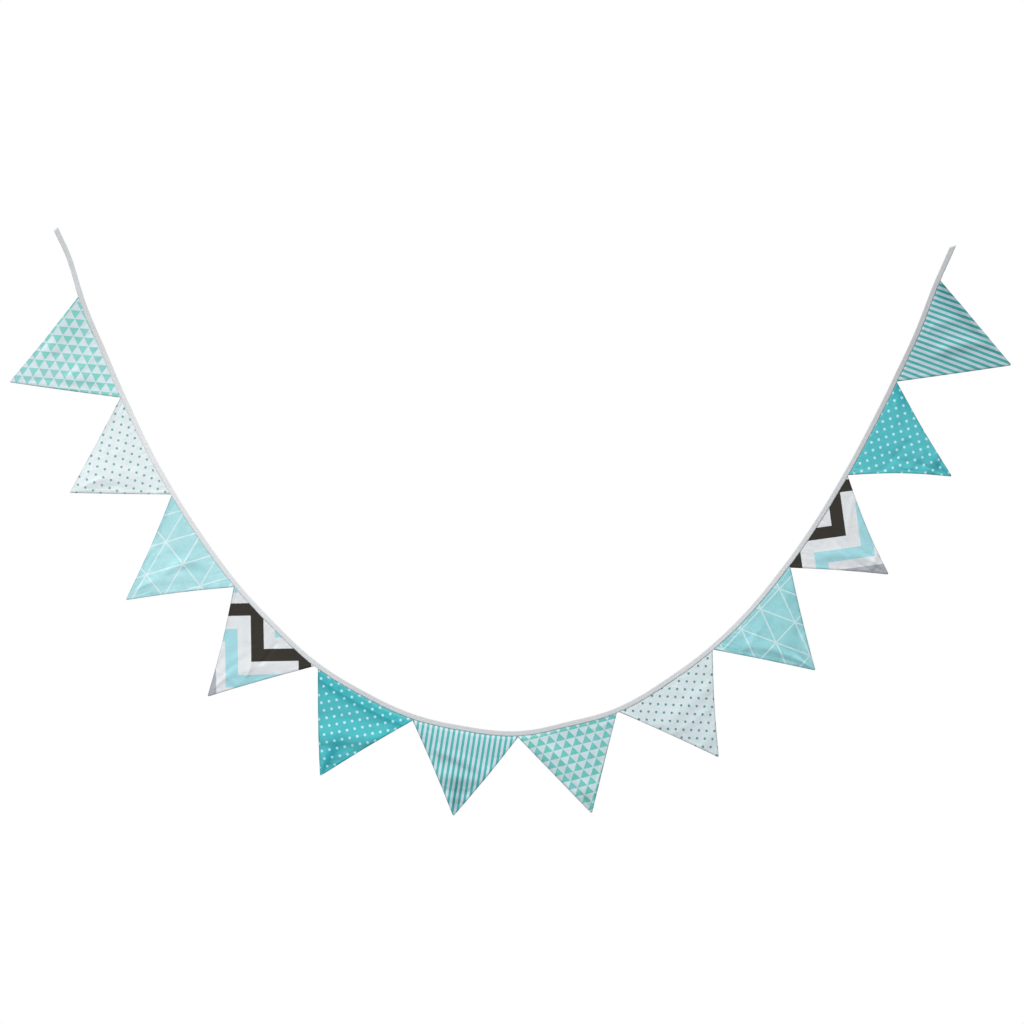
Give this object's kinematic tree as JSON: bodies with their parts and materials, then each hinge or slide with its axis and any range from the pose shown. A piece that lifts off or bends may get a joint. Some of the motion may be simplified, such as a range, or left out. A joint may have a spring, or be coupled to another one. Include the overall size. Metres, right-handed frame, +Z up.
{
  "type": "bunting",
  "caption": "Fabric bunting: triangular printed pennants sewn side by side into a narrow white folded tape that hangs in a deep curve between its two free ends.",
  "frame": {"origin": "the left end of the folded tape, on its folded edge, where the hung tape is held", "axes": "+X runs from the tape's left end to its right end, +Y points away from the viewer and out of the plain back, +Z is up"},
  "size_m": [1.903, 0.0257, 1.1199],
  "materials": {
    "tape": "matt white woven cotton tape, folded lengthwise and stitched",
    "mint_triangles": "matt cotton, small mint triangles on white",
    "teal_spots": "matt cotton, small teal spots on white",
    "blue_lattice": "matt cotton, white lines in triangles on pale blue",
    "steps": "matt cotton, stepped bands of dark grey, pale blue, grey and white",
    "white_spots": "matt cotton, small white spots on teal",
    "mint_stripes": "matt cotton, narrow teal green and white stripes"
  },
  "bodies": {
    "root": {"tape": "tape", "pennant_01": "mint_triangles", "pennant_02": "teal_spots", "pennant_03": "blue_lattice", "pennant_04": "steps", "pennant_05": "white_spots", "pennant_06": "mint_stripes", "pennant_07": "mint_triangles", "pennant_08": "teal_spots", "pennant_09": "blue_lattice", "pennant_10": "steps", "pennant_11": "white_spots", "pennant_12": "mint_stripes"}
  },
  "joints": []
}
